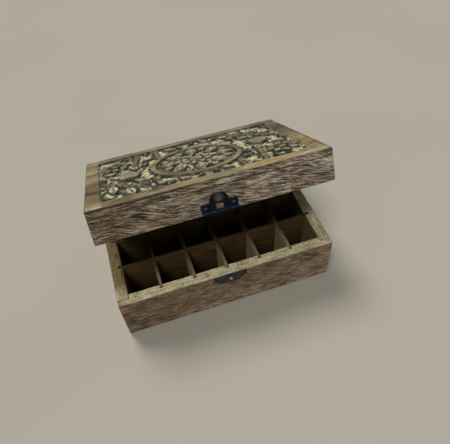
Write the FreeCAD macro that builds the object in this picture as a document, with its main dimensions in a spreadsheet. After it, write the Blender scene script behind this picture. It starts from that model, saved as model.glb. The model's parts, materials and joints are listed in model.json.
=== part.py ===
import FreeCAD, Part
import math
import os
import re

import Sketcher

# A carved wooden bottle box: a hinged lid over a base with a grid of compartments, shut by a flip hasp.
# Millimetres, +Z up. The origin is on the table under the middle of the base, and the front faces -Y.
# Every lid piece is drawn with the lid shut, then turned about the hinge pins by the angle it stands open.

COLUMNS = 6
ROWS = 4
PETALS = 8

# Carved leaves and stems left of the ring, end to end, in shares of half the carved field's width and
# depth. Those right of the ring are the same, turned half round.
LEAVES = (
    ((-0.885, -0.41), (-0.865, -0.77)),
    ((-0.74, -0.645), (-0.7, -0.95)),
    ((-0.635, -0.875), (-0.555, -1.02)),
    ((-0.96, 0.23), (-0.8, 0.17)),
    ((-0.635, 0.39), (-0.625, 0.1)),
    ((-0.675, -0.37), (-0.54, -0.51)),
    ((-0.48, -0.69), (-0.395, -0.89)),
    ((-0.27, -0.77), (-0.165, -0.95)),
    ((-0.25, 0.92), (-0.135, 0.74)),
)
STEMS = (
    ((-1.02, -0.13), (-0.37, -1.1)),
    ((-0.56, 1.05), (-0.625, 0.35)),
    ((-0.365, 1.05), (-0.34, 0.3)),
)
BELL_PLACE = (-0.705, -0.1)
FLOWER_PLACE = (-0.825, 0.555)

DIMENSIONS = {
    # box
    "box_width": 220.0,
    "box_depth": 158.0,
    "base_height": 55.0,
    "lid_height": 31.6,
    "lid_gap": 0.4,
    "lid_open_angle": 26.8,
    # boards
    "wall_thick": 11.5,
    "corner_lip": 6.0,
    "top_thick": 7.0,
    "floor_thick": 4.0,
    "floor_seat": 5.0,
    "floor_clear": 0.2,
    # dividers
    "divider_thick": 3.0,
    "divider_drop": 1.0,
    "slot_clear": 0.2,
    "groove_depth": 4.5,
    "groove_end_gap": 2.4,
    # carving in the lid
    "carve_border": 14.0,
    "carve_depth": 2.4,
    "ring_radius": 47.0,
    "ring_band": 7.0,
    "ring_shift": 4.5,
    "boss_radius": 6.0,
    "petal_gap": 2.0,
    "inner_petal_length": 8.0,
    "inner_petal_width": 6.0,
    "petal_width": 15.0,
    "bell_width": 22.0,
    "bell_length": 29.0,
    "flower_radius": 17.0,
    "flower_boss_radius": 4.5,
    "flower_petal_width": 7.5,
    "leaf_width": 8.0,
    "stem_width": 5.5,
    # metal
    "metal_clear": 0.3,
    "pin_clear": 0.05,
    "knuckle_end_clear": 0.2,
    "nail_radius": 0.7,
    "nail_clear": 0.05,
    "nail_length": 6.5,
    "nail_head_radius": 1.5,
    "nail_head_crown": 0.9,
    "nail_head_height": 0.6,
    # hinges
    "hinge_inset": 45.0,
    "hinge_length": 28.0,
    "hinge_leaf_height": 12.0,
    "hinge_sheet": 1.0,
    "hinge_knuckle_radius": 1.9,
    "hinge_pin_radius": 0.9,
    "hinge_nail_inset": 5.0,
    "hinge_nail_drop": 7.4,
    # latch on the lid
    "latch_width": 33.4,
    "latch_height": 8.6,
    "latch_sheet": 1.0,
    "latch_hump_width": 13.0,
    "latch_hump_rise": 1.2,
    "latch_bridge": 2.0,
    "latch_knuckle_radius": 1.5,
    "latch_pin_radius": 0.7,
    "latch_nail_inset": 4.0,
    "latch_nail_rise": 4.8,
    "hasp_width": 16.8,
    "hasp_length": 17.4,
    "hasp_sheet": 1.0,
    "hasp_corner_radius": 6.5,
    "hasp_window_width": 7.0,
    "hasp_window_start": 2.4,
    "hasp_window_end": 9.0,
    "hasp_dish_margin": 2.2,
    "hasp_dish_corner": 3.0,
    "hasp_dish_depth": 0.4,
    # catch on the base
    "catch_width": 33.0,
    "catch_height": 12.5,
    "catch_corner": 7.0,
    "catch_nail_inset": 4.5,
    "catch_nail_drop": 4.2,
    "stud_shank_radius": 1.2,
    "stud_shank_length": 4.5,
    "stud_neck_radius": 1.7,
    "stud_head_radius": 2.3,
    "stud_clear": 0.5,
}

# Places worked out from the dimensions, as expression text
INNER_WIDTH = "(box_width - 2 * wall_thick)"
INNER_DEPTH = "(box_depth - 2 * wall_thick)"
COLUMN_PITCH = f"(({INNER_WIDTH} + divider_thick) / {COLUMNS})"
ROW_PITCH = f"(({INNER_DEPTH} + divider_thick) / {ROWS})"
DIVIDER_TOP = "(base_height - divider_drop)"
DIVIDER_MIDDLE = f"((floor_thick + {DIVIDER_TOP}) / 2)"
TONGUE = "(groove_depth - groove_end_gap)"
LID_BOTTOM = "(base_height + lid_gap)"
RAIL_TOP = f"({LID_BOTTOM} + lid_height - top_thick)"
LID_TOP = f"({LID_BOTTOM} + lid_height)"
HINGE_Y = "(box_depth / 2 + hinge_knuckle_radius + metal_clear)"
HINGE_Z = "(base_height + lid_gap / 2)"
LATCH_OFFSET = "max(latch_knuckle_radius; latch_sheet + hasp_sheet / 2)"
LATCH_Y = f"(-box_depth / 2 - metal_clear - {LATCH_OFFSET})"
LATCH_Z = f"({LID_BOTTOM} + latch_knuckle_radius + metal_clear)"
STUD_Z = f"({LATCH_Z} - hasp_window_end + stud_head_radius + stud_clear)"
CATCH_TOP = "(base_height - metal_clear)"

TURN = {
    "+X": FreeCAD.Rotation(FreeCAD.Vector(0, 1, 0), 90),
    "+Y": FreeCAD.Rotation(FreeCAD.Vector(1, 0, 0), -90),
    "-Y": FreeCAD.Rotation(FreeCAD.Vector(1, 0, 0), 90),
}

doc = FreeCAD.newDocument("bottle_box")
sheet = doc.addObject("Spreadsheet::Sheet", "Dims")
for row, (alias, value) in enumerate(DIMENSIONS.items(), 1):
    sheet.set(f"A{row}", alias)
    sheet.set(f"B{row}", str(value))
    sheet.setAlias(f"B{row}", alias)
doc.recompute()

subparts = {}


def sized(text):
    """The expression text with each dimension's name pointed at its cell."""
    return re.sub(r"[a-z_]+", lambda word: f"Dims.{word[0]}" if word[0] in DIMENSIONS else word[0], text)


def bind(piece, **expressions):
    """Tie properties to the sheet. A double underscore in a name stands for a dot."""
    for name, text in expressions.items():
        piece.setExpression(name.replace("__", "."), sized(text))
    return piece


def place(piece, x="0", y="0", z="0"):
    return bind(piece, Placement__Base__x=x, Placement__Base__y=y, Placement__Base__z=z)


def block(name, x, y, z):
    """A box between a pair of values on each axis."""
    piece = doc.addObject("Part::Box", name)
    for size, (start, end) in zip(("Length", "Width", "Height"), (x, y, z)):
        bind(piece, **{size: f"({end}) - ({start})"})
    return place(piece, x[0], y[0], z[0])


def rod(name, radius, start, length, direction):
    """A cylinder from its start point along one of the directions in TURN."""
    piece = doc.addObject("Part::Cylinder", name)
    piece.Placement.Rotation = TURN[direction]
    bind(piece, Radius=radius, Height=length)
    return place(piece, *start)


def fuse(name, solids):
    piece = doc.addObject("Part::MultiFuse", name)
    piece.Shapes = solids
    return piece


def cut(name, solid, tools):
    piece = doc.addObject("Part::Cut", name)
    piece.Base = solid
    piece.Tool = tools[0] if len(tools) == 1 else fuse(f"{name}_cutters", tools)
    return piece


def keep(label, *pieces, on_lid=False):
    """Name a finished sub-part of one or more solids, and turn it open with the lid if it rides there."""
    finished = pieces[0]
    if on_lid or len(pieces) > 1:
        finished = doc.addObject("Part::Compound", f"{label}_placed")
        finished.Links = pieces
    if on_lid:
        middle = f"vector(0; {HINGE_Y}; {HINGE_Z})"
        opened = "rotation(vector(1; 0; 0); -lid_open_angle)"
        bind(finished, Placement=f"placement(vector(0; 0; 0); {opened}; {middle})")
    finished.Label = label
    subparts[label] = finished


def outline(body, name, corners):
    """A closed outline of straight edges on the body's XZ plane, each corner tied to the sheet."""
    sketch = body.newObject("Sketcher::SketchObject", name)
    plane = next(item for item in body.Origin.OriginFeatures if item.Role == "XZ_Plane")
    sketch.AttachmentSupport = (plane, [""])
    sketch.MapMode = "FlatFace"
    add_loop(sketch, corners)
    return sketch


def measure(text):
    """The number that an expression gives now, for a sketch's first guess."""
    return measures.evalExpression(sized(text))


def add_loop(sketch, corners):
    points = [FreeCAD.Vector(measure(x), measure(z), 0) for x, z in corners]
    first = sketch.GeometryCount
    count = len(points)
    for start, end in zip(points, points[1:] + points[:1]):
        sketch.addGeometry(Part.LineSegment(start, end))
    for edge in range(count):
        sketch.addConstraint(
            Sketcher.Constraint("Coincident", first + edge, 2, first + (edge + 1) % count, 1))
    for edge, (corner, point) in enumerate(zip(corners, points)):
        for kind, text, value in zip(("DistanceX", "DistanceY"), corner, point):
            index = sketch.addConstraint(Sketcher.Constraint(kind, -1, 1, first + edge, 1, value))
            sketch.setExpression(f"Constraints[{index}]", sized(text))


def plate(name, loops, thickness):
    """A sheet-metal blank padded towards -Y from one outline, with any further loops as holes."""
    body = doc.addObject("PartDesign::Body", name)
    sketch = outline(body, f"{name}_outline", loops[0])
    for loop in loops[1:]:
        add_loop(sketch, loop)
    pad = body.newObject("PartDesign::Pad", f"{name}_pad")
    pad.Profile = sketch
    bind(pad, Length=thickness)
    doc.recompute()
    return body


def rectangle(left, right, bottom, top):
    return [(left, bottom), (right, bottom), (right, top), (left, top)]


def nails(label, places, face, into, on_lid=False):
    """Round-headed nails driven at (x, z) places through a metal face, and the holes that they need."""
    away = {"+Y": "-Y", "-Y": "+Y"}[into]
    made, holes = [], []
    for number, (x, z) in enumerate(places, 1):
        start = (x, face, z)
        shank = rod(f"{label}_shank_{number}", "nail_radius", start, "nail_length", into)
        head = doc.addObject("Part::Cone", f"{label}_head_{number}")
        head.Placement.Rotation = TURN[away]
        bind(head, Radius1="nail_head_radius", Radius2="nail_head_crown", Height="nail_head_height")
        made.append(fuse(f"{label}_{number}", [shank, place(head, *start)]))
        holes.append(rod(f"{label}_hole_{number}", "nail_radius + nail_clear", start,
                         "nail_length + nail_clear", into))
    keep(label, *made, on_lid=on_lid)
    return holes


def frame_boards(prefix, bottom, top, front_cuts, back_cuts, left_cuts, right_cuts, names, on_lid=False):
    """Four boards of a frame: the long ones run full width and house the short ones in end rebates."""
    span = (bottom, top)
    across = {
        "left": ("-box_width / 2", "-box_width / 2 + wall_thick"),
        "right": ("box_width / 2 - wall_thick", "box_width / 2"),
    }
    for side, cuts in (("front", front_cuts), ("back", back_cuts)):
        outer, inner = ("-box_depth / 2", "-box_depth / 2 + wall_thick")
        rebate = ("-box_depth / 2 + corner_lip", inner)
        if side == "back":
            outer, inner = ("box_depth / 2 - wall_thick", "box_depth / 2")
            rebate = (outer, "box_depth / 2 - corner_lip")
        board = block(f"{prefix}_{side}_board", ("-box_width / 2", "box_width / 2"), (outer, inner), span)
        ends = [block(f"{prefix}_{side}_{end}_rebate", reach, rebate, span) for end, reach in across.items()]
        keep(names[side], cut(f"{prefix}_{side}_cut", board, ends + cuts), on_lid=on_lid)
    length = ("-box_depth / 2 + corner_lip", "box_depth / 2 - corner_lip")
    for side, cuts in (("left", left_cuts), ("right", right_cuts)):
        board = block(f"{prefix}_{side}_board", across[side], length, span)
        keep(names[side], cut(f"{prefix}_{side}_cut", board, cuts) if cuts else board, on_lid=on_lid)


def column_slat(number):
    """X of the two faces of one cross divider."""
    end = f"(-{INNER_WIDTH} / 2 + {number} * {COLUMN_PITCH})"
    return f"{end} - divider_thick", end


def row_slat(number):
    """Y of the two faces of one long divider."""
    end = f"(-{INNER_DEPTH} / 2 + {number} * {ROW_PITCH})"
    return f"{end} - divider_thick", end


def eased(faces):
    """The slot for a slat, a little wider than the slat all told."""
    return f"{faces[0]} - slot_clear / 2", f"{faces[1]} + slot_clear / 2"


def dividers():
    """Long slats slotted from the top and cross slats slotted from below, lapped in a grid."""
    height = ("floor_thick", DIVIDER_TOP)
    long_reach = (f"-{INNER_WIDTH} / 2 - {TONGUE}", f"{INNER_WIDTH} / 2 + {TONGUE}")
    cross_reach = (f"-{INNER_DEPTH} / 2 - {TONGUE}", f"{INNER_DEPTH} / 2 + {TONGUE}")
    for number in range(1, ROWS):
        slat = block(f"long_slat_{number}", long_reach, row_slat(number), height)
        slots = [
            block(f"long_slat_{number}_slot_{column}", eased(column_slat(column)), row_slat(number),
                  (f"{DIVIDER_MIDDLE} - slot_clear / 2", DIVIDER_TOP))
            for column in range(1, COLUMNS)
        ]
        keep(f"long_divider_{number}", cut(f"long_slat_{number}_cut", slat, slots))
    for number in range(1, COLUMNS):
        slat = block(f"cross_slat_{number}", column_slat(number), cross_reach, height)
        slots = [
            block(f"cross_slat_{number}_slot_{line}", column_slat(number), eased(row_slat(line)),
                  ("floor_thick", f"{DIVIDER_MIDDLE} + slot_clear / 2"))
            for line in range(1, ROWS)
        ]
        keep(f"cross_divider_{number}", cut(f"cross_slat_{number}_cut", slat, slots))


def base_grooves():
    """Cutters for the slat grooves and the floor rebate in each base wall."""
    rise = ("floor_thick", "base_height")
    low = ("0", "floor_thick")
    wide = (f"-{INNER_WIDTH} / 2 - floor_seat", f"{INNER_WIDTH} / 2 + floor_seat")
    deep = (f"-{INNER_DEPTH} / 2 - floor_seat", f"{INNER_DEPTH} / 2 + floor_seat")
    cutters = {}
    for side, face in (("front", f"-{INNER_DEPTH} / 2"), ("back", f"{INNER_DEPTH} / 2")):
        reach = {"front": (f"{face} - groove_depth", face), "back": (face, f"{face} + groove_depth")}[side]
        seat = {"front": (f"{face} - floor_seat", face), "back": (face, f"{face} + floor_seat")}[side]
        cutters[side] = [block(f"{side}_floor_rebate", wide, seat, low)] + [
            block(f"{side}_groove_{column}", eased(column_slat(column)), reach, rise)
            for column in range(1, COLUMNS)
        ]
    for side, face in (("left", f"-{INNER_WIDTH} / 2"), ("right", f"{INNER_WIDTH} / 2")):
        reach = {"left": (f"{face} - groove_depth", face), "right": (face, f"{face} + groove_depth")}[side]
        seat = {"left": (f"{face} - floor_seat", face), "right": (face, f"{face} + floor_seat")}[side]
        cutters[side] = [block(f"{side}_floor_rebate", seat, deep, low)] + [
            block(f"{side}_groove_{line}", reach, eased(row_slat(line)), rise) for line in range(1, ROWS)
        ]
    return cutters


def floor_panel():
    half_width = f"({INNER_WIDTH} / 2 + floor_seat - floor_clear)"
    half_depth = f"({INNER_DEPTH} / 2 + floor_seat - floor_clear)"
    panel = block("floor_panel", (f"-{half_width}", half_width), (f"-{half_depth}", half_depth),
                  ("0", "floor_thick"))
    keep("base_floor", panel)


def lens(base, tip, width, height):
    """A leaf-shaped prism between two points, bounded by two arcs."""
    along = tip - base
    side = FreeCAD.Vector(-along.y, along.x, 0).normalize() * (width / 2)
    middle = (base + tip) / 2
    edges = [Part.Arc(base, middle + side, tip).toShape(), Part.Arc(tip, middle - side, base).toShape()]
    return Part.Face(Part.Wire(edges)).extrude(FreeCAD.Vector(0, 0, height))


def strip(base, tip, width, height):
    """A straight bar between two points."""
    along = tip - base
    side = FreeCAD.Vector(-along.y, along.x, 0).normalize() * (width / 2)
    corners = [base - side, tip - side, tip + side, base + side]
    return Part.Face(Part.makePolygon(corners + corners[:1])).extrude(FreeCAD.Vector(0, 0, height))


def petals(middle, inner, outer, width, height, turn=0.0):
    """Petals standing in a circle."""
    made = []
    for petal in range(PETALS):
        angle = 2 * math.pi * (petal + turn) / PETALS
        aim = FreeCAD.Vector(math.cos(angle), math.sin(angle), 0)
        made.append(lens(middle + aim * inner, middle + aim * outer, width, height))
    return made


def scrollwork(place, size):
    """Half of the carving: a bell-shaped leaf, a flower, leaves and stems. Shares go through place."""
    depth = size["carve_depth"]
    leaves = [lens(place(start), place(end), size["leaf_width"], depth) for start, end in LEAVES]
    stems = [strip(place(start), place(end), size["stem_width"], depth) for start, end in STEMS]
    reach = FreeCAD.Vector(0, size["bell_length"] / 2, 0)
    bell = lens(place(BELL_PLACE) - reach, place(BELL_PLACE) + reach, size["bell_width"], depth)
    flower = place(FLOWER_PLACE)
    boss = size["flower_boss_radius"]
    ring = petals(flower, boss + size["petal_gap"], size["flower_radius"], size["flower_petal_width"], depth)
    return [bell, Part.makeCylinder(boss, depth, flower)] + leaves + stems + ring


def relief():
    """What the carver leaves standing: a ring round a rosette, and scrollwork each side of it."""
    size = {name: float(sheet.get(name)) for name in DIMENSIONS}
    depth = size["carve_depth"]
    ground = size["base_height"] + size["lid_gap"] + size["lid_height"] - depth
    half_width = size["box_width"] / 2 - size["carve_border"]
    half_depth = size["box_depth"] / 2 - size["carve_border"]
    gap = size["petal_gap"]
    middle = FreeCAD.Vector(0, -size["ring_shift"], ground)
    ring_inside = size["ring_radius"] - size["ring_band"]
    inner_end = size["boss_radius"] + gap + size["inner_petal_length"]

    figures = []
    for turn in (1, -1):
        wide, deep = turn * half_width, turn * half_depth
        figures += scrollwork(lambda share: FreeCAD.Vector(share[0] * wide, share[1] * deep, ground), size)
    sides = figures[0].fuse(figures[1:])
    sides = sides.cut(Part.makeCylinder(size["ring_radius"] - size["ring_band"] / 2, depth, middle))
    ring = Part.makeCylinder(size["ring_radius"], depth, middle)
    ring = ring.cut(Part.makeCylinder(ring_inside, depth, middle))
    boss = Part.makeCylinder(size["boss_radius"], depth, middle)
    inner = petals(middle, size["boss_radius"] + gap, inner_end, size["inner_petal_width"], depth, 0.5)
    outer = petals(middle, inner_end + gap, ring_inside - gap, size["petal_width"], depth)
    piece = doc.addObject("Part::Feature", "relief")
    piece.Shape = ring.fuse([sides, boss] + inner + outer)
    return piece


def lid_board():
    half_width = "(box_width / 2 - carve_border)"
    half_depth = "(box_depth / 2 - carve_border)"
    board = block("lid_blank", ("-box_width / 2", "box_width / 2"), ("-box_depth / 2", "box_depth / 2"),
                  (RAIL_TOP, LID_TOP))
    field = block("lid_field", (f"-{half_width}", half_width), (f"-{half_depth}", half_depth),
                  (f"{LID_TOP} - carve_depth", LID_TOP))
    keep("lid_top", cut("lid_carved", board, [cut("lid_ground", field, [relief()])]), on_lid=True)


def hinge(side, middle):
    """One butt hinge on the back: outer knuckles and pin on the base leaf, middle knuckle on the lid's."""
    left, right = f"({middle} - hinge_length / 2)", f"({middle} + hinge_length / 2)"
    inner_left, inner_right = f"({middle} - hinge_length / 6)", f"({middle} + hinge_length / 6)"
    sheet_y = ("box_depth / 2", "box_depth / 2 + hinge_sheet")
    clear = "(hinge_knuckle_radius + metal_clear)"
    bore = rod(f"{side}_hinge_bore", "hinge_pin_radius + pin_clear", (left, HINGE_Y, HINGE_Z),
               "hinge_length", "+X")
    nail_x = (f"{left} + hinge_nail_inset", f"{right} - hinge_nail_inset")
    lower = [(x, f"{HINGE_Z} - hinge_nail_drop") for x in nail_x]
    upper = [(x, f"{HINGE_Z} + hinge_nail_drop") for x in nail_x]

    base_sheet = block(f"{side}_base_sheet", (left, right), sheet_y,
                       (f"{HINGE_Z} - hinge_leaf_height", HINGE_Z))
    base_end = "(hinge_length / 3 - knuckle_end_clear)"
    base_knuckles = [
        rod(f"{side}_base_knuckle_1", "hinge_knuckle_radius", (left, HINGE_Y, HINGE_Z), base_end, "+X"),
        rod(f"{side}_base_knuckle_2", "hinge_knuckle_radius",
            (f"{inner_right} + knuckle_end_clear", HINGE_Y, HINGE_Z), base_end, "+X"),
    ]
    base_notch = block(f"{side}_base_notch",
                       (f"{inner_left} - knuckle_end_clear", f"{inner_right} + knuckle_end_clear"), sheet_y,
                       (f"{HINGE_Z} - {clear}", HINGE_Z))
    base_blank = cut(f"{side}_base_blank", base_sheet, [base_notch])
    base_leaf = fuse(f"{side}_base_leaf", [base_blank] + base_knuckles)

    lid_sheet = block(f"{side}_lid_sheet", (left, right), sheet_y,
                      (HINGE_Z, f"{HINGE_Z} + hinge_leaf_height"))
    lid_notches = [
        block(f"{side}_lid_notch_1", (left, inner_left), sheet_y, (HINGE_Z, f"{HINGE_Z} + {clear}")),
        block(f"{side}_lid_notch_2", (inner_right, right), sheet_y, (HINGE_Z, f"{HINGE_Z} + {clear}")),
    ]
    lid_knuckle = rod(f"{side}_lid_knuckle", "hinge_knuckle_radius", (inner_left, HINGE_Y, HINGE_Z),
                      "hinge_length / 3", "+X")
    lid_leaf = fuse(f"{side}_lid_leaf", [cut(f"{side}_lid_blank", lid_sheet, lid_notches), lid_knuckle])

    pin = rod(f"{side}_pin", "hinge_pin_radius", (left, HINGE_Y, HINGE_Z), "hinge_length", "+X")
    keep(f"{side}_hinge_pin", pin)
    return base_leaf, lid_leaf, bore, lower, upper


def hinges():
    """Both hinges and their nails. Returns the nail holes for the base's and the lid's back boards."""
    middles = {"left": "(hinge_inset - box_width / 2)", "right": "(box_width / 2 - hinge_inset)"}
    made = {side: hinge(side, middle) for side, middle in middles.items()}
    face = "box_depth / 2 + hinge_sheet"
    lower = [spot for parts in made.values() for spot in parts[3]]
    upper = [spot for parts in made.values() for spot in parts[4]]
    base_holes = nails("hinge_base_nails", lower, face, "-Y")
    lid_holes = nails("hinge_lid_nails", upper, face, "-Y", on_lid=True)
    for side, (base_leaf, lid_leaf, bore, _, _) in made.items():
        keep(f"{side}_hinge_base_leaf", cut(f"{side}_base_leaf_cut", base_leaf, [bore] + base_holes))
        keep(f"{side}_hinge_lid_leaf", cut(f"{side}_lid_leaf_cut", lid_leaf, [bore] + lid_holes),
             on_lid=True)
    return base_holes, lid_holes


def latch():
    """The plate nailed to the lid front, its pin, and the hasp flipped up on it. Returns the nail holes."""
    half = "(latch_width / 2)"
    inner = "(hasp_width / 2 + knuckle_end_clear)"
    notch = "(latch_knuckle_radius + metal_clear)"
    hump, hump_top = "(latch_hump_width / 2)", "(latch_height + latch_hump_rise)"
    slot, slot_top = "(hasp_window_width / 2)", f"({hump_top} - latch_bridge)"
    right_side = [(slot, slot_top), (slot, notch), (inner, notch), (inner, "0"), (half, "0"),
                  (half, "latch_height"), (hump, "latch_height"), (hump, hump_top)]
    left_side = [(f"-{x}", z) for x, z in reversed(right_side)]
    blank = plate("latch_blank", [right_side + left_side], "latch_sheet")
    place(blank, "0", "-box_depth / 2", LATCH_Z)
    knuckles = [
        rod(f"latch_knuckle_{number}", "latch_knuckle_radius", (start, LATCH_Y, LATCH_Z),
            f"{half} - {inner}", "+X")
        for number, start in enumerate((f"-{half}", inner), 1)
    ]
    end = (f"-{half}", LATCH_Y, LATCH_Z)
    bore = rod("latch_bore", "latch_pin_radius + pin_clear", end, "latch_width", "+X")
    places = [(f"{sign}({half} - latch_nail_inset)", f"{LATCH_Z} + latch_nail_rise") for sign in ("-", "")]
    holes = nails("latch_nails", places, "-box_depth / 2 - latch_sheet", "+Y", on_lid=True)
    rolled = fuse("latch_rolled", [blank] + knuckles)
    keep("latch_plate", cut("latch_cut", rolled, [bore] + holes), on_lid=True)
    keep("latch_pin", rod("latch_rod", "latch_pin_radius", end, "latch_width", "+X"), on_lid=True)
    hasp(bore)
    return holes


def hasp(bore):
    """A stamped loop: a window for the stud, a rounded finger tab with a shallow dish, and a long knuckle."""
    half = "(hasp_width / 2)"
    edge = rectangle(f"-{half}", half, "0", "hasp_length")
    window = rectangle("-hasp_window_width / 2", "hasp_window_width / 2",
                       "hasp_window_start", "hasp_window_end")
    body = plate("hasp_blank", [edge, window], "hasp_sheet")
    pad = body.Tip
    top = float(sheet.get("hasp_length"))
    corners = [
        f"Edge{number}" for number, line in enumerate(pad.Shape.Edges, 1)
        if all(abs(vertex.Z - top) < 1e-6 for vertex in line.Vertexes)
        and abs(line.Vertexes[0].X - line.Vertexes[1].X) < 1e-6
    ]
    rounded = body.newObject("PartDesign::Fillet", "hasp_shoulders")
    rounded.Base = (pad, corners)
    bind(rounded, Radius="hasp_corner_radius")
    body.Tip = rounded
    doc.recompute()

    dish_half = f"({half} - hasp_dish_margin)"
    low, high = "(hasp_window_end + hasp_dish_margin)", "(hasp_length - hasp_dish_margin)"
    step = "hasp_dish_corner"
    sketch = outline(body, "hasp_dish_outline", [
        (f"-{dish_half}", low), (dish_half, low), (dish_half, f"{high} - {step}"),
        (f"{dish_half} - {step}", high), (f"-{dish_half} + {step}", high),
        (f"-{dish_half}", f"{high} - {step}")])
    bind(sketch, AttachmentOffset__Base__z="hasp_sheet")
    dish = body.newObject("PartDesign::Pocket", "hasp_dish")
    dish.Profile = sketch
    bind(dish, Length="hasp_dish_depth")
    body.Tip = dish
    place(body, "0", f"{LATCH_Y} + hasp_sheet / 2", LATCH_Z)
    knuckle = rod("hasp_knuckle", "latch_knuckle_radius", (f"-{half}", LATCH_Y, LATCH_Z), "hasp_width", "+X")
    keep("latch_hasp", cut("hasp_cut", fuse("hasp_rolled", [body, knuckle]), [bore]), on_lid=True)


def catch():
    """The shield-shaped plate under the front rim, with the stud for the hasp. Returns its holes."""
    half = "(catch_width / 2)"
    shield = [(f"-{half}", "-catch_height + catch_corner"), (f"-{half} + catch_corner", "-catch_height"),
              (f"{half} - catch_corner", "-catch_height"), (half, "-catch_height + catch_corner"),
              (half, "0"), (f"-{half}", "0")]
    blank = place(plate("catch_blank", [shield], "latch_sheet"), "0", "-box_depth / 2", CATCH_TOP)
    face = "(-box_depth / 2 - latch_sheet)"
    places = [(f"{sign}({half} - catch_nail_inset)", f"{CATCH_TOP} - catch_nail_drop") for sign in ("-", "")]
    holes = nails("catch_nails", places, face, "+Y")

    seat = ("0", face, STUD_Z)
    depth = "(latch_sheet + stud_shank_length)"
    neck = "(2 * metal_clear + hasp_sheet)"
    holes.append(rod("stud_hole", "stud_shank_radius + nail_clear", seat, f"{depth} + nail_clear", "+Y"))
    dome = doc.addObject("Part::Sphere", "stud_dome")
    dome.Placement.Rotation = TURN["-Y"]
    dome.Angle1 = 0
    bind(dome, Radius="stud_head_radius")
    keep("catch_stud", fuse("stud", [
        rod("stud_shank", "stud_shank_radius", seat, depth, "+Y"),
        rod("stud_neck", "stud_neck_radius", seat, neck, "-Y"),
        place(dome, "0", f"{face} - {neck}", STUD_Z),
    ]))
    keep("catch_plate", cut("catch_cut", blank, holes))
    return holes


def check_and_write():
    doc.recompute()
    for item in doc.Objects:
        if {"Invalid", "Error"} & set(item.State):
            raise RuntimeError(f"{item.Name} failed: {item.State}")
    os.makedirs("parts", exist_ok=True)
    for label, piece in subparts.items():
        if piece.Shape.isNull() or not piece.Shape.isValid():
            raise RuntimeError(f"{label} has no valid shape")
        piece.Shape.exportStep(f"parts/{label}.step")
    print(len(subparts), "sub-parts written")


measures = doc.addObject("App::FeaturePython", "measures")
hinge_base_holes, hinge_lid_holes = hinges()
latch_holes = latch()
catch_holes = catch()
grooves = base_grooves()
frame_boards("base", "0", "base_height", grooves["front"] + catch_holes, grooves["back"] + hinge_base_holes,
             grooves["left"], grooves["right"],
             {side: f"base_{side}_wall" for side in ("front", "back", "left", "right")})
floor_panel()
dividers()
frame_boards("lid", LID_BOTTOM, RAIL_TOP, latch_holes, hinge_lid_holes, [], [],
             {side: f"lid_{side}_rail" for side in ("front", "back", "left", "right")}, on_lid=True)
lid_board()
check_and_write()
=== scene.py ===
import json
import math

import bmesh
import bpy
import numpy as np
from mathutils import Matrix


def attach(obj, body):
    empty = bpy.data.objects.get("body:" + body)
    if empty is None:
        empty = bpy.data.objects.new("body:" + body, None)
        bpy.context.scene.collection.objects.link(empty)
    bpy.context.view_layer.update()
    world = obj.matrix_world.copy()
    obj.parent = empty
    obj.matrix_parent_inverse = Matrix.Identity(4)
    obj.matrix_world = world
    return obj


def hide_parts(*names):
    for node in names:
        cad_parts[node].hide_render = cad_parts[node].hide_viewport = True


# A carved wooden bottle box with its lid part open. Lengths are in metres, and MM is a millimetre. Lid boards
# are shaped with the lid shut, and then turned about the hinge pins by the angle that it stands open.

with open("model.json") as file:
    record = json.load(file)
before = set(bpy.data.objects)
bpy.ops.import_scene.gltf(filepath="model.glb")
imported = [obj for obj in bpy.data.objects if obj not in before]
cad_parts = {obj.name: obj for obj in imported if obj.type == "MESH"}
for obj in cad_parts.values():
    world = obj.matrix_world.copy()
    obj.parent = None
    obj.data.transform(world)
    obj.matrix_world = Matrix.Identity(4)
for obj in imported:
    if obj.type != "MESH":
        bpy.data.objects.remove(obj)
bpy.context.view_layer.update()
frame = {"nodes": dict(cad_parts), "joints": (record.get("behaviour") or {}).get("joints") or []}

MM = 0.001
HAIR = 0.02 * MM
joints = {joint["name"]: joint for joint in frame["joints"]}
HINGE_Y, HINGE_Z = joints["lid_hinge"]["pos_m"][1:]
LID_ANGLE = math.radians(-joints["lid_hinge"]["range_deg"][0])


def turned(points, angle):
    """Points turned about the hinge pins: y' = y cos + z sin and z' = z cos - y sin, from the pins."""
    moved = np.array(points, float)
    y, z = moved[:, 1] - HINGE_Y, moved[:, 2] - HINGE_Z
    moved[:, 1] = HINGE_Y + y * math.cos(angle) + z * math.sin(angle)
    moved[:, 2] = HINGE_Z + z * math.cos(angle) - y * math.sin(angle)
    return moved


def extent(node, on_lid=False):
    """Lowest and highest corner of a CAD node, with the lid turned shut for one that rides on it."""
    mesh = frame["nodes"][node].data
    points = np.empty(len(mesh.vertices) * 3, np.float32)
    mesh.vertices.foreach_get("co", points)
    points = points.reshape(-1, 3).astype(float)
    if on_lid:
        points = turned(points, -LID_ANGLE)
    return points.min(0), points.max(0)


# Factors and shifts that scramble a lattice corner's place into three random slopes
PLACE_FACTORS = np.array([0x9E3779B1, 0x85EBCA77, 0xC2B2AE3D], np.uint32)
SEED_START, SEED_STEP = 0x27D4EB2F, 7919
SCRAMBLES = (15, 0x2C1B3C6D), (12, 0x297A2D39)
LAST_SHIFT = 15
SLOPE_SHIFTS = (0, 10, 20)
SLOPE_TOP = 1023
NOISE_GAIN = 1.5


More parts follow.
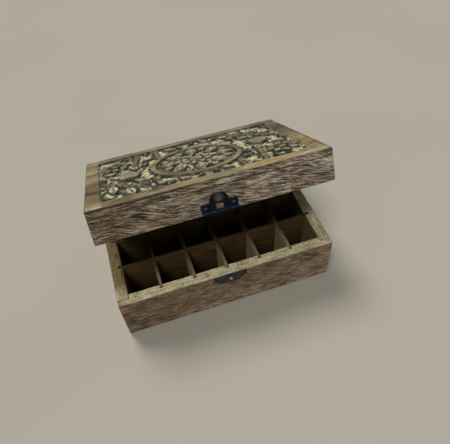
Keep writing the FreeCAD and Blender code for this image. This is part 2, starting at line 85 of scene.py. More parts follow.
def noise(points, seed):
    """Smooth noise of about -1 to 1: hashed slopes at the corners of a unit lattice, blended by a quintic."""
    cell = np.floor(points)
    local = points - cell
    cell = cell.astype(np.int64)
    fade = local ** 3 * (local * (local * 6 - 15) + 10)
    total = np.zeros(len(points))
    for corner in np.ndindex(2, 2, 2):
        spread = (cell + corner).astype(np.uint32) * PLACE_FACTORS
        mixed = spread[:, 0] ^ spread[:, 1] ^ spread[:, 2] ^ np.uint32(SEED_START + SEED_STEP * seed)
        for shift, factor in SCRAMBLES:
            mixed ^= mixed >> np.uint32(shift)
            mixed *= np.uint32(factor)
        mixed ^= mixed >> np.uint32(LAST_SHIFT)
        levels = [mixed >> np.uint32(shift) & np.uint32(SLOPE_TOP) for shift in SLOPE_SHIFTS]
        slopes = np.stack(levels, 1) / (SLOPE_TOP / 2) - 1
        weight = np.prod(np.where(corner, fade, 1 - fade), axis=1)
        total += weight * np.sum(slopes * (local - corner), axis=1)
    return NOISE_GAIN * total


def smooth(value, low, high):
    """0 below low, 1 above high, and a cubic ease between."""
    share = np.clip((value - low) / (high - low), 0, 1)
    return share * share * (3 - 2 * share)


# Grain, in millimetres: the cells of the slow noise that it wanders by, how far, and its two layers' cells
DRIFT_LENGTH, DRIFT_WIDTH = 55, 26
WIDE_DRIFT, NARROW_DRIFT, NARROWER = 5.5, 2.4, 2.7
WIDE_GRAIN = np.array([11, 1.1, 1.1])
NARROW_GRAIN = np.array([6, 0.8, 0.8])


def wandering(place, seed, slope):
    """(along, across, through) places whose across part is pushed by a slope and by slow noise, so that
    streaks drawn on them wander as grain does."""
    along, across, through = (place / MM).T
    slow = np.stack([along / DRIFT_LENGTH, across / DRIFT_WIDTH, through / DRIFT_WIDTH], 1)
    drift = WIDE_DRIFT * noise(slow, seed) + NARROW_DRIFT * noise(slow * NARROWER, seed + 1)
    return np.stack([along, across + drift + slope * along, through], 1) * MM


def raised_grain(bent, seed):
    """Wire-brushed grain, 0 in a furrow to 1 on a ridge: two layers of noise, stretched along the board."""
    cells = bent / MM
    wide = noise(cells / WIDE_GRAIN, seed + 2)
    narrow = noise(cells / NARROW_GRAIN, seed + 3)
    return np.clip(0.52 + 0.8 * wide + 0.5 * narrow, 0, 1)


# Pieces

WELD_GAP = 1e-7
SHARP_ANGLE = math.radians(50)


def stand_for(piece, body, node):
    """Bring a finished piece into the scene, riding on a body and shown in place of one CAD node."""
    bpy.context.scene.collection.objects.link(piece)
    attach(piece, body)
    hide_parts(node)


def finish_piece(name, points, faces, body, node, material, fields, weld=False):
    """A mesh object from an array of points and a list of faces, with its per-point fields."""
    mesh = bpy.data.meshes.new(name)
    mesh.from_pydata(points.tolist(), [], faces)
    for field, values in fields.items():
        kind, part = ("FLOAT_VECTOR", "vector") if values.ndim == 2 else ("FLOAT", "value")
        layer = mesh.attributes.new(field, kind, "POINT")
        layer.data.foreach_set(part, values.astype(np.float32).ravel())
    if weld:
        shape = bmesh.new()
        shape.from_mesh(mesh)
        bmesh.ops.remove_doubles(shape, verts=shape.verts, dist=WELD_GAP)
        shape.to_mesh(mesh)
        shape.free()
    mesh.polygons.foreach_set("use_smooth", np.ones(len(mesh.polygons), bool))
    mesh.set_sharp_from_angle(angle=SHARP_ANGLE)
    mesh.materials.append(material)
    stand_for(bpy.data.objects.new(name, mesh), body, node)


# Where grid lines stand in an eased edge, as shares of it, and how finely points are told apart
EASED_STEPS = np.array([0.0, 0.3, 0.65])
STEPS_PER_METRE = 1e8


def grid_lines(low, high, pitch, edge, marks):
    """Positions from low to high: close in the eased edges, then a pitch apart, with a pair at each mark."""
    ease = edge * EASED_STEPS
    count = max(2, math.ceil((high - low - 2 * edge) / pitch) + 1)
    lines = [low + ease, np.linspace(low + edge, high - edge, count), high - ease]
    lines += [np.array([mark - HAIR, mark + HAIR]) for mark in marks if low < mark < high]
    return np.unique(np.concatenate(lines))


def grid_quads(index):
    """The four corners of each cell of a grid of point numbers, in order round the cell."""
    ring = [index[:-1, :-1], index[1:, :-1], index[1:, 1:], index[:-1, 1:]]
    return np.stack([corner.ravel() for corner in ring], 1)


def box_surface(lines):
    """The six faces of a box, each a grid over the given lines of x, y and z, joined along their edges."""
    points, quads, start = [], [], 0
    for axis in range(3):
        first, second = (axis + 1) % 3, (axis + 2) % 3
        across, up = np.meshgrid(lines[first], lines[second], indexing="ij")
        cells = grid_quads(np.arange(across.size).reshape(across.shape))
        for end in (0, -1):
            face = np.empty(across.shape + (3,))
            face[..., axis] = lines[axis][end]
            face[..., first], face[..., second] = across, up
            quads.append(start + (cells[:, ::-1] if end == 0 else cells))
            points.append(face.reshape(-1, 3))
            start += across.size
    points = np.concatenate(points)
    steps = np.round(points * STEPS_PER_METRE).astype(np.int64)
    _, kept, again = np.unique(steps, axis=0, return_index=True, return_inverse=True)
    return points[kept], again.reshape(-1)[np.concatenate(quads)]


# Each board reads its grain at one of seventeen places, a shift apart
GRAIN_SHIFT, GRAIN_SHIFTS = np.array([0.31, 0.17, 0.23]), 17
# How far below 1 the largest part of a normal lies on an arris
ARRIS_DROP = 0.29
CHIP_SIZE, SMALL_CHIP_SIZE, CHIP_DEPTH = 7 * MM, 2.5 * MM, 0.55 * MM
SPECK_SIZE, SPECK_DEPTH = 1.6 * MM, 0.14 * MM
# Shares along a board at which its dullness, with painted shade on the side rims, is given
DULL_PLACES = (0, 0.12, 1)


def board(name, node, body, material, along, rim, seed, pitch, edge, rough, outward=(0, 0, 0), cuts=(),
          slope=0.0, fade=(0.5, 0.5), dull=(0.5, 0.5, 0.5)):
    """A planed board with worn edges and raised grain.

    Along is the grain's axis, outward points away from the box, and rim is 1 or -1 where a sawn rim faces up
    or down. The CAD node's box is covered with a fine grid. Points in a cut (a low corner, a high corner, an
    axis and a value) move along that axis to the value, which makes a rebate or a groove. The rest keep their
    offset from the box shrunk by the edge radius, set to that radius, and then sink by the grain's furrows
    and by dents along the edges."""
    on_lid = body == "lid"
    low, high = extent(node, on_lid)
    marks = [[corner[axis] for cut in cuts for corner in cut[:2]] for axis in range(3)]
    lines = [grid_lines(low[axis], high[axis], pitch[axis], edge, marks[axis]) for axis in range(3)]
    flat, quads = box_surface(lines)

    core = np.clip(flat, low + edge, high - edge)
    normal = flat - core
    normal /= np.linalg.norm(normal, axis=1, keepdims=True)
    share = (flat[:, along] - low[along]) / (high[along] - low[along])
    place = flat[:, [along, 2, 1 - along]] + GRAIN_SHIFT * (seed % GRAIN_SHIFTS)
    place = wandering(place, seed, slope)
    grain = raised_grain(place, seed)
    inside = np.clip(-normal @ np.array(outward), 0, 1) ** 2
    sawn = np.clip(normal[:, 2] * rim, 0, 1) ** 2
    open_face = np.clip(1 - inside - sawn, 0, 1)
    corner = np.clip((1 - np.abs(normal).max(1)) / ARRIS_DROP, 0, 1)
    dents = noise(flat / CHIP_SIZE, seed + 5) + 0.5 * noise(flat / SMALL_CHIP_SIZE, seed + 6)
    chip = smooth(dents, 0.1, 0.9)
    speck = np.clip(0.5 + noise(flat / SPECK_SIZE, seed + 7), 0, 1)
    sink = rough * (1 - grain) * (open_face + 0.3 * inside) + SPECK_DEPTH * speck * sawn
    points = core + normal * (edge - sink - CHIP_DEPTH * corner * chip)[:, None]

    recessed = np.zeros(len(flat), bool)
    for cut_low, cut_high, axis, value in cuts:
        within = np.all((flat > np.array(cut_low)) & (flat < np.array(cut_high)), axis=1)
        points[within & ~recessed] = flat[within & ~recessed]
        points[within, axis] = value
        recessed |= within
    inside[recessed] = 1
    if on_lid:
        points = turned(points, LID_ANGLE)
    fields = dict(place=place, grain=grain, inside=inside, sawn=sawn, worn=corner * (0.4 + 0.6 * chip),
                  fade=fade[0] + (fade[1] - fade[0]) * share, dull=np.interp(share, DULL_PLACES, dull))
    finish_piece(name, points, quads.tolist(), body, node, material, fields, bool(cuts))


# Finishes


def tint(red, green, blue):
    """A colour named by its 0 to 255 screen values, as linear light."""
    share = np.array([red, green, blue]) / 255
    linear = np.where(share <= 0.04045, share / 12.92, ((share + 0.055) / 1.055) ** 2.4)
    return (*linear.tolist(), 1.0)


class Finish:
    """The node tree of one finish, with a short call for each kind of node that it uses."""

    def __init__(self, name):
        self.material = bpy.data.materials.new(name)
        self.material.use_nodes = True
        self.tree = self.material.node_tree
        self.shader = self.tree.nodes["Principled BSDF"]

    def put(self, socket, value):
        """Link another node's output to a socket, or set the socket to a plain value."""
        if isinstance(value, bpy.types.NodeSocket):
            self.tree.links.new(value, socket)
        else:
            socket.default_value = value

    def node(self, kind, inputs, **settings):
        """A new node with its settings and inputs."""
        made = self.tree.nodes.new(kind)
        for setting, value in settings.items():
            setattr(made, setting, value)
        for socket, value in inputs.items():
            self.put(made.inputs[socket], value)
        return made

    def field(self, name):
        """One of the piece's per-point numbers."""
        return self.node("ShaderNodeAttribute", {}, attribute_name=name).outputs["Fac"]

    def place(self):
        """The piece's per-point places along, across and through its grain."""
        return self.node("ShaderNodeAttribute", {}, attribute_name="place").outputs["Vector"]

    def coordinates(self):
        """The piece's own coordinates in metres."""
        return self.node("ShaderNodeTexCoord", {}).outputs["Object"]

    def noise(self, vector, per_metre, detail=2.0, roughness=0.5):
        """Noise of 0 to 1 with a number of cells per metre on each axis."""
        stretched = self.node("ShaderNodeMapping", {"Vector": vector, "Scale": per_metre}).outputs[0]
        inputs = {"Vector": stretched, "Scale": 1.0, "Detail": detail, "Roughness": roughness}
        return self.node("ShaderNodeTexNoise", inputs).outputs["Fac"]

    def sum(self, *terms):
        """Each term is (socket, weight), and the result is their weighted sum."""
        total = 0.0
        for socket, weight in terms:
            inputs = {0: socket, 1: weight, 2: total}
            total = self.node("ShaderNodeMath", inputs, operation="MULTIPLY_ADD").outputs[0]
        return total

    def times(self, first, second):
        """The product of two numbers."""
        return self.node("ShaderNodeMath", {0: first, 1: second}, operation="MULTIPLY").outputs[0]

    def band(self, value, low, high, start=0.0, end=1.0):
        """A value's place between low and high, as a number from start to end."""
        inputs = {"Value": value, "From Min": low, "From Max": high, "To Min": start, "To Max": end}
        return self.node("ShaderNodeMapRange", inputs).outputs[0]

    def ramp(self, value, *stops):
        """A colour read from a ramp whose stops are (position, colour)."""
        made = self.node("ShaderNodeValToRGB", {"Fac": value})
        points = made.color_ramp.elements
        points[0].position, points[0].color = stops[0]
        points[1].position, points[1].color = stops[-1]
        for position, colour in stops[1:-1]:
            points.new(position).color = colour
        return made.outputs["Color"]

    def mix(self, share, first, second, blend="MIX"):
        """Two colours mixed, with a share of the second."""
        inputs = {0: share, 6: first, 7: second}
        return self.node("ShaderNodeMix", inputs, data_type="RGBA", blend_type=blend).outputs[2]

    def bump(self, height, distance):
        """Fine relief: a height of 0 to 1 over a distance in metres."""
        made = self.node("ShaderNodeBump", {"Height": height, "Distance": distance})
        self.put(self.shader.inputs["Normal"], made.outputs[0])

    def done(self, colour, roughness, **constants):
        """The material, once its colour, its roughness and other inputs of its shader are in."""
        self.put(self.shader.inputs["Base Color"], colour)
        self.put(self.shader.inputs["Roughness"], roughness)
        for socket, value in constants.items():
            self.put(self.shader.inputs[socket.replace("_", " ")], value)
        return self.material


# The foot of a wall, which is scrubbed paler where its board's fade is high, and by how much
FOOT_LOW, FOOT_HIGH = 2 * MM, 22 * MM
FOOT_GAIN = (1.6, 1.6, 1.6, 1.0)
# How far the places that the lid's top reads its grain at are shifted
TOP_SHIFT = 0.4
# Heights over which painted shade on the slats clears, and depths over which their painted light and wear end
SLAT_SHADE_HEIGHTS, SLAT_LIT_DEPTHS = (4 * MM, 46 * MM), (-64 * MM, -44 * MM)
# Distances over which the painted reflection on the hasp's dish fades out
REFLECTION_REACH = (1.0 * MM, 5.5 * MM)


def brushed_colour(wood, place, furrow, middle, ridge, warm):
    """Wire-brushed stain: dark in the furrows of the raised grain, pale on its ridges, with warm clouds, and
    browner and darker where the board's fade is low. Returns the colour and the streak tone behind it."""
    streak = wood.band(wood.noise(place, (80, 1250, 1250), 2, 0.55), 0.34, 0.66)
    fine = wood.band(wood.noise(place, (330, 2300, 2300), 3, 0.65), 0.3, 0.7)
    cloud = wood.noise(place, (22, 60, 60), 2)
    blotch = wood.band(wood.noise(place, (38, 95, 95), 3, 0.6), 0.32, 0.68)
    tone = wood.sum((wood.field("grain"), 0.26), (streak, 0.26), (fine, 0.32), (blotch, 0.16))
    colour = wood.ramp(tone, (0.27, furrow), (0.5, middle), (0.75, ridge))
    colour = wood.mix(wood.band(cloud, 0.42, 0.7, 0, 0.7), colour, warm, "MULTIPLY")
    fade = wood.ramp(wood.field("fade"), (0.0, tint(196, 184, 164)), (1.0, tint(255, 255, 255)))
    return wood.mix(1.0, colour, fade, "MULTIPLY"), tone


def weathered_finish(name, furrow, middle, ridge, warm, grime):
    """Wire-brushed, stained outside, paler at the foot; pale speckled sawn rims; dark inside; grimy edges."""
    wood = Finish(name)
    place = wood.place()
    outside, tone = brushed_colour(wood, place, furrow, middle, ridge, warm)
    height = wood.node("ShaderNodeSeparateXYZ", {0: wood.coordinates()}).outputs["Z"]
    low_down = wood.band(height, FOOT_LOW, FOOT_HIGH, 1.0, 0.0)
    foot = wood.times(low_down, wood.band(wood.field("fade"), 0.64, 0.72))
    outside = wood.mix(foot, outside, FOOT_GAIN, "MULTIPLY")
    fleck = wood.band(wood.noise(place, (420, 900, 900), 3, 0.7), 0.3, 0.7)
    saw = wood.sum((fleck, 0.62), (wood.band(wood.noise(place, (60, 420, 420), 2), 0.3, 0.7), 0.38))
    rim = wood.ramp(saw, (0.12, tint(100, 86, 56)), (0.4, tint(206, 190, 148)), (0.76, tint(255, 244, 204)))
    # Dull rims: duller wood, and on the side rims painted shade of the open lid
    rim = wood.mix(wood.field("dull"), rim, tint(118, 107, 86), "MULTIPLY")
    inner = wood.ramp(tone, (0.2, tint(88, 73, 45)), (0.8, tint(142, 124, 84)))
    colour = wood.mix(wood.field("sawn"), outside, rim)
    colour = wood.mix(wood.field("inside"), colour, inner)
    colour = wood.mix(wood.times(wood.field("worn"), grime), colour, tint(56, 46, 33))
    wood.bump(tone, 0.22 * MM)
    return wood.done(colour, wood.band(tone, 0.2, 0.9, 0.92, 0.72), Specular_IOR_Level=0.3)


def carved_finish():
    """Planed border in tan and olive, limewashed ground, dark stain and painted shade along the carver's
    cuts.
    """
    wood = Finish("carved_board")
    place = wood.place()
    streak = wood.band(wood.noise(place, (34, 420, 420), 3, 0.6), 0.3, 0.7)
    fine = wood.band(wood.noise(place, (150, 1500, 1500), 2, 0.6), 0.3, 0.7)
    cloud = wood.noise(place, (13, 30, 30), 2)
    smudge = wood.noise(place, (24, 34, 34), 3, 0.6)
    tone = wood.sum((streak, 0.6), (fine, 0.4))
    tan = (0.15, tint(108, 95, 66)), (0.5, tint(170, 155, 118)), (0.85, tint(208, 194, 154))
    planed = wood.ramp(tone, *tan)
    patina = wood.ramp(wood.field("fade"), (0.0, tint(172, 168, 160)), (1.0, tint(255, 255, 255)))
    planed = wood.mix(1.0, planed, patina, "MULTIPLY")
    across = wood.node("ShaderNodeSeparateXYZ", {0: place}).outputs["Y"]
    to_front = wood.band(across, TOP_SHIFT - 30 * MM, TOP_SHIFT + 30 * MM, 1.0, 0.3)
    golden = wood.times(wood.band(cloud, 0.46, 0.64, 0, 0.8), to_front)
    planed = wood.mix(golden, planed, tint(236, 206, 156), "MULTIPLY")
    to_back = wood.band(across, TOP_SHIFT - 30 * MM, TOP_SHIFT + 70 * MM, 0, 0.9)
    planed = wood.mix(to_back, planed, tint(218, 222, 226), "MULTIPLY")
    planed = wood.mix(wood.band(smudge, 0.48, 0.64, 0, 0.85), planed, tint(168, 162, 148), "MULTIPLY")
    spots = wood.noise(place, (230, 230, 230), 3, 0.6)
    limewash = (0.3, tint(116, 112, 80)), (0.48, tint(184, 176, 136)), (0.66, tint(214, 207, 170))
    ground = wood.ramp(spots, *limewash)
    figure = wood.mix(wood.band(spots, 0.35, 0.65, 0.0, 0.5), planed, tint(112, 105, 78))
    standing = wood.mix(wood.field("carved"), planed, figure)
    colour = wood.mix(wood.field("bare"), ground, standing)
    # The dark of the cuts and of the ground by the figures: stain, and painted shade of the cut walls
    stain = wood.ramp(fine, (0.2, tint(22, 26, 23)), (0.8, tint(50, 52, 43)))
    colour = wood.mix(wood.field("stain"), colour, stain)
    brushed = brushed_colour(wood, place, *LID_TONES)[0]
    colour = wood.mix(wood.field("side"), colour, brushed)
    colour = wood.mix(wood.field("inside"), colour, tint(52, 41, 26))
    colour = wood.mix(wood.field("worn"), colour, tint(38, 31, 22))
    wood.bump(tone, 0.18 * MM)
    return wood.done(colour, wood.band(tone, 0.2, 0.9, 0.85, 0.62), Specular_IOR_Level=0.35)


def slat_finish():
    """Thin stained slats, darker towards the floor with painted shade, and pale in the front row with painted
    light: on the faces of those whose fade is high there, and, partly as wear, on all sawn tops."""
    wood = Finish("slat_wood")
    place = wood.place()
    streak = wood.band(wood.noise(place, (45, 700, 700), 3, 0.6), 0.3, 0.7)
    face = wood.ramp(streak, (0.1, tint(74, 55, 30)), (0.5, tint(106, 82, 48)), (0.9, tint(134, 108, 66)))
    spot = wood.node("ShaderNodeSeparateXYZ", {0: wood.coordinates()})
    # Painted shade: the faces darken towards the floor of the compartments
    face = wood.mix(wood.band(spot.outputs["Z"], *SLAT_SHADE_HEIGHTS), tint(52, 36, 18), face)
    # Painted light: cross slats' faces in the front row, where their fade is high, are pale as if lit
    bare = wood.ramp(streak, (0.1, tint(146, 126, 90)), (0.9, tint(180, 158, 116)))
    face = wood.mix(wood.band(wood.field("fade"), 0.7, 0.76), face, bare)
    top = wood.ramp(streak, (0.1, tint(44, 35, 20)), (0.9, tint(74, 62, 38)))
    # Sawn tops pale towards the front: wear, and painted light where light falls under the open lid
    worn = wood.ramp(streak, (0.1, tint(128, 116, 82)), (0.9, tint(186, 174, 134)))
    top = wood.mix(wood.band(spot.outputs["Y"], *SLAT_LIT_DEPTHS, 0.62, 0.0), top, worn)
    colour = wood.mix(wood.field("sawn"), face, top)
    wood.bump(streak, 0.15 * MM)
    return wood.done(colour, wood.band(streak, 0.2, 0.8, 0.92, 0.78), Specular_IOR_Level=0.25)


def steel_finish(name, dark, light, roughness, metallic, rubbed=None):
    """Sheet steel with cloudy tarnish and fine scratches, and a painted reflection round a place if given."""
    steel = Finish(name)
    spot = steel.coordinates()
    cloud = steel.noise(spot, (160, 160, 160), 4, 0.6)
    scratch = steel.noise(spot, (240, 2600, 2600), 2, 0.6)
    tone = steel.sum((cloud, 0.7), (scratch, 0.3))
    steel.bump(scratch, 0.03 * MM)
    colour = steel.ramp(tone, (0.35, dark), (0.65, light))
    if rubbed is not None:
        # Painted reflection of the wood: a pale tan round the given place
        away = steel.node("ShaderNodeVectorMath", {0: spot, 1: rubbed}, operation="DISTANCE").outputs["Value"]
        colour = steel.mix(steel.band(away, *REFLECTION_REACH, 0.85, 0.0), colour, tint(130, 124, 106))
    smoothest, roughest = roughness
    return steel.done(colour, steel.band(cloud, 0.3, 0.7, roughest, smoothest), Metallic=metallic)


def floor_finish():
    """Matt paper, clouded so faintly that it looks plain."""
    paper = Finish("backdrop_paper")
    cloud = paper.noise(paper.coordinates(), (3, 3, 3), 2)
    colour = paper.ramp(cloud, (0.3, tint(168, 162, 149)), (0.7, tint(171, 165, 152)))
    return paper.done(colour, 0.95, Specular_IOR_Level=0.1)


# Furrow, middle, ridge and warm cloud of the brushed stain
LID_TONES = (tint(42, 34, 26), tint(134, 121, 103), tint(240, 226, 206), tint(236, 216, 194))
BASE_TONES = (tint(64, 53, 42), tint(142, 122, 102), tint(202, 182, 160), tint(242, 216, 196))
# The hasp's dish, where a painted reflection of the wood lies
hasp_low, hasp_high = extent("latch_hasp", on_lid=True)
DISH_DROP = 4.5 * MM
HASP_DISH = turned([[0, hasp_low[1], hasp_high[2] - DISH_DROP]], LID_ANGLE)[0]
lid_wood = weathered_finish("weathered_lid", *LID_TONES, grime=0.95)
base_wood = weathered_finish("weathered_base", *BASE_TONES, grime=0.55)
carved_wood = carved_finish()
slat_wood = slat_finish()
black_steel = steel_finish("blackened_steel", tint(9, 14, 20), tint(28, 48, 74), (0.6, 0.85), 0.8)
hasp_steel = steel_finish("hasp_steel", tint(10, 13, 16), tint(34, 46, 58), (0.45, 0.7), 0.8, HASP_DISH)
dull_steel = steel_finish("dull_steel", tint(42, 44, 40), tint(82, 88, 84), (0.45, 0.7), 0.6)
stud_steel = steel_finish("stud_steel", tint(120, 130, 132), tint(196, 208, 206), (0.18, 0.4), 1.0)


# The base: four walls round a floor, and slats lapped in a grid

LONG_SLATS = [f"long_divider_{number}" for number in (1, 2, 3)]
CROSS_SLATS = [f"cross_divider_{number}" for number in (1, 2, 3, 4, 5)]
SLOT_EASE = 0.1 * MM
GROOVE_DEPTH = 4.5 * MM
FLOOR_SEAT = 5.0 * MM
FAR = 1.0
ANYWHERE = (-FAR, FAR)

front_low, front_high = extent("base_front_wall")
side_low = extent("base_left_wall")[0]
floor_top = extent("base_floor")[1][2]
WALL = front_high[1] - front_low[1]
LIP = side_low[1] - front_low[1]
HALF_WIDTH = front_high[0]
HALF_DEPTH = -front_low[1]
INNER_X = HALF_WIDTH - WALL
INNER_Y = HALF_DEPTH - WALL


def corners(spans):
    """The low and high corner of a box given by its span on each axis."""
    return [span[0] for span in spans], [span[1] for span in spans]


def ordered(axis, start, end, others):
    """A cut's low and high corner: start to end on one axis, and the given spans on the other two."""
    spans = list(others)
    spans.insert(axis, (min(start, end), max(start, end)))
    return corners(spans)


def end_rebates(side):
    """The rebates in both ends of a front (side -1) or back (side 1) board, which house the side boards."""
    seat = side * (HALF_DEPTH - LIP)
    ends = (-INNER_X - HALF_WIDTH, -INNER_X), (INNER_X, INNER_X + HALF_WIDTH)
    return [(*ordered(1, seat, 0, [end, ANYWHERE]), 1, seat) for end in ends]


def wall_cuts(axis, side):
    """The slat grooves and the floor rebate in the inner face of a base wall, which faces along x (axis 0) or
    y (axis 1)."""
    face = side * (INNER_X if axis == 0 else INNER_Y)
    slats = LONG_SLATS if axis == 0 else CROSS_SLATS
    reach = (INNER_Y if axis == 0 else INNER_X) + FLOOR_SEAT
    groove_end, seat_end = face + side * GROOVE_DEPTH, face + side * FLOOR_SEAT
    cuts = []
    for slat in slats:
        low, high = extent(slat)
        span = (low[1 - axis] - SLOT_EASE, high[1 - axis] + SLOT_EASE)
        cuts.append((*ordered(axis, groove_end, 0, [span, ANYWHERE]), axis, groove_end))
    cuts.append((*ordered(axis, seat_end, 0, [(-reach, reach), (-FAR, floor_top)]), 2, floor_top))
    return cuts


WALL_EDGE = 1.3 * MM
FINE, COARSE = 0.5 * MM, 1.8 * MM
BASE_ROUGH, LID_ROUGH = 0.3 * MM, 0.4 * MM
BASE_SLOPE, BASE_FADE = 0.06, (0.6, 1.0)
SIDES = {"front": (1, -1), "back": (1, 1), "left": (0, -1), "right": (0, 1)}
LID_SLOPES = {"front": 0.14, "back": 0.1, "left": -0.08, "right": 0.1}
LID_FADES = {"front": (0.1, 1.0), "back": (0.6, 0.4), "left": (0.5, 0.3), "right": (0.8, 0.6)}
# Rim dullness: duller wood, and on the side rims painted shade of the lid, darker towards the back
RIM_DULL_AND_SHADE = {"front": (0.9, 0, 0.3), "back": (0.45, 0.45, 0.45),
                "left": (0.55, 1, 1), "right": (0.4, 0.4, 0.5)}

for number, (side, (axis, sign)) in enumerate(SIDES.items(), 1):
    outward = [0.0, 0.0, 0.0]
    outward[axis] = sign
    pitch = [FINE, FINE, FINE]
    pitch[1 - axis] = COARSE
    rebates = end_rebates(sign) if axis == 1 else []
    board(f"{side}_wall", f"base_{side}_wall", "base", base_wood, along=1 - axis,
          outward=outward, rim=1, seed=11 * number, pitch=pitch, edge=WALL_EDGE, rough=BASE_ROUGH,
          cuts=rebates + wall_cuts(axis, sign), slope=BASE_SLOPE, fade=BASE_FADE, dull=RIM_DULL_AND_SHADE[side])
    board(f"lid_{side}_board", f"lid_{side}_rail", "lid", lid_wood, along=1 - axis,
          outward=outward, rim=-1, seed=50 + 11 * number, pitch=pitch, edge=WALL_EDGE, rough=LID_ROUGH,
          cuts=rebates, slope=LID_SLOPES[side], fade=LID_FADES[side])

SLAT_EDGE = 0.35 * MM
SLAT_ROUGH = 0.1 * MM
SLAT_PITCH = [3.0 * MM, 3.0 * MM, 3.0 * MM]
FLOOR_PITCH = [4.0 * MM, 4.0 * MM, 2.0 * MM]
middle_height = (floor_top + extent(LONG_SLATS[0])[1][2]) / 2
for number, slat in enumerate(LONG_SLATS + CROSS_SLATS, 1):
    is_long = slat in LONG_SLATS
    crossing = CROSS_SLATS if is_long else LONG_SLATS
    axis = 0 if is_long else 1
    cuts = []
    for other in crossing:
        low, high = extent(other)
        spans = [ANYWHERE] * 3
        spans[axis] = (low[axis] - SLOT_EASE, high[axis] + SLOT_EASE)
        spans[2] = (middle_height, FAR) if is_long else (-FAR, middle_height)
        cuts.append((*corners(spans), 2, middle_height))
    # A cross slat's fade runs from 1 at the front to 0 at the back and sets where its faces get painted light
    board(slat.replace("divider", "slat"), slat, "base", slat_wood, along=axis, rim=1,
          seed=120 + 7 * number, pitch=SLAT_PITCH, edge=SLAT_EDGE, rough=SLAT_ROUGH, cuts=cuts,
          fade=(0, 0) if is_long else (1, 0))

board("floor_panel", "base_floor", "base", slat_wood, along=0, rim=0, seed=230,
      pitch=FLOOR_PITCH, edge=SLAT_EDGE, rough=SLAT_ROUGH)


# The carved top of the lid. Its sizes are in millimetres.

CARVE_BORDER = 14.0
CARVE_DEPTH = 2.4
FIELD = np.array([HALF_WIDTH, HALF_DEPTH]) / MM - CARVE_BORDER
RING_PLACE = np.array([0.0, -4.5])
RING_RADIUS = 47.0
RING_BAND = 7.0
BEAD_INSET, BEAD_HALF = 1.2, 1.6
BEAD_STRETCHES = 5
BOSS_RADIUS = 6.0
FLORET_REACH, FLORET_RADIUS, FLORET_EYE = 28, 6.0, 2.8
FLOWER_BOSS_RADIUS = 4.5
FLOWER_RADIUS = 17.0
PETALS = 8
BEVEL = 0.6
# Where the widest cut along a figure's outline starts and ends, from inside to outside it
CUT_START, CUT_END = (-1.4, -0.6), (1.4, 2.6)
FINE_GOUGE, ROSETTE_GOUGE = 0.5, 0.6
STEM_PITCH = 8.0
LEAF_VEIN = 0.6
# The bell-shaped leaf: its size, its oval flat, and the veins, curled lobes, foot and lattice cut in it
BELL_WIDTH, BELL_LENGTH = 22.0, 29.0
BELL_FLAT, BELL_SQUASH = 8.5, 26 / 29
BELL_VEIN, BELL_VEINS_APART = 0.55, 3.4
LOBE_ASIDE, LOBE_ALONG, LOBE_RADIUS, LOBE_LINE = 5, 6, 4, 0.6
BELL_FOOT = 8
LATTICE_PITCH = 3.4
CARVE_SEED = 300

# The main figures left of the ring, which lie over those of the solid: their ends or middle, in shares of
# half the field's width and depth
SPRAY_LEAVES = (
    ((-0.885, -0.41), (-0.865, -0.77)), ((-0.745, -0.64), (-0.695, -1.0)), ((-0.635, -0.77), (-0.54, -1.02)),
)
SCROLL_LEAVES = (
    ((-0.96, 0.23), (-0.8, 0.17)), ((-0.635, 0.39), (-0.625, 0.1)), ((-0.675, -0.37), (-0.54, -0.51)),
    ((-0.48, -0.69), (-0.395, -0.89)), ((-0.27, -0.77), (-0.165, -0.95)), ((-0.25, 0.92), (-0.135, 0.74)),
)
STEMS = (
    ((-1.02, -0.13), (-0.37, -1.1)), ((-0.56, 1.05), (-0.625, 0.35)), ((-0.365, 1.05), (-0.34, 0.3)),
)
BELL_PLACE = np.array([-0.705, -0.1])
FLOWER_PLACE = np.array([-0.825, 0.555])
# Small leaves that fill the gaps
SMALL_LEAVES = (
    ((-0.74, 0.95), (-0.66, 0.8)), ((-0.98, 0.1), (-0.95, -0.13)), ((-0.47, 1.0), (-0.455, 0.85)),
    ((-0.085, 0.95), (-0.075, 0.73)), ((-0.6, -0.58), (-0.54, -0.73)), ((-0.49, -0.5), (-0.45, -0.7)),
    ((-0.8, -0.33), (-0.75, -0.48)), ((-0.98, -0.75), (-0.93, -0.97)), ((-0.54, 0.5), (-0.4, 0.57)),
    ((-0.53, 0.2), (-0.49, 0.45)), ((-0.36, -0.93), (-0.31, -0.79)), ((-0.1, -0.96), (-0.04, -0.84)),
)
# Patches of ground left white with limewash, and patches left dark with stain
LIMED_GROUND = (
    ((-0.535, -0.34), (-0.53, 0.08)), ((-0.515, 0.02), (-0.41, 0.54)), ((-0.33, 0.57), (-0.25, 0.78)),
    ((-0.475, 0.66), (-0.46, 0.88)), ((-0.665, 0.35), (-0.66, 0.88)), ((-0.955, 0.82), (-0.95, 0.55)),
    ((-0.49, 0.32), (-0.395, 0.63)), ((-0.08, -0.94), (0.1, -0.92)), ((0.16, -0.84), (0.32, -0.73)),
    ((-0.9, -0.5), (-0.96, -0.9)), ((-0.76, -0.62), (-0.75, -0.86)), ((-0.935, 0.12), (-0.925, -0.18)),
    ((-0.2, 0.88), (-0.02, 0.8)), ((-0.36, -0.6), (-0.3, -0.74)), ((-0.7, 0.24), (-0.6, 0.2)),
)
DARK_GROUND = (
    ((-0.92, 0.3), (-0.66, 0.36)), ((-0.85, -0.25), (-0.56, -0.28)), ((-0.9, -0.35), (-1.0, -0.85)),
    ((-0.83, -0.4), (-0.76, -1.0)), ((-0.68, -0.7), (-0.6, -1.05)), ((-0.56, 0.45), (-0.4, 0.65)),
    ((-0.88, 0.84), (-0.7, 0.9)),
)


def rise(distance):
    """1 inside a figure and 0 outside it, easing over the carver's bevel where the distance is 0."""
    return smooth(-distance, -BEVEL, BEVEL)


def ridge_line(distance, width):
    """A soft line: 1 where the distance is 0, falling as a bell curve of the given width."""
    return np.exp(-(distance / width) ** 2)


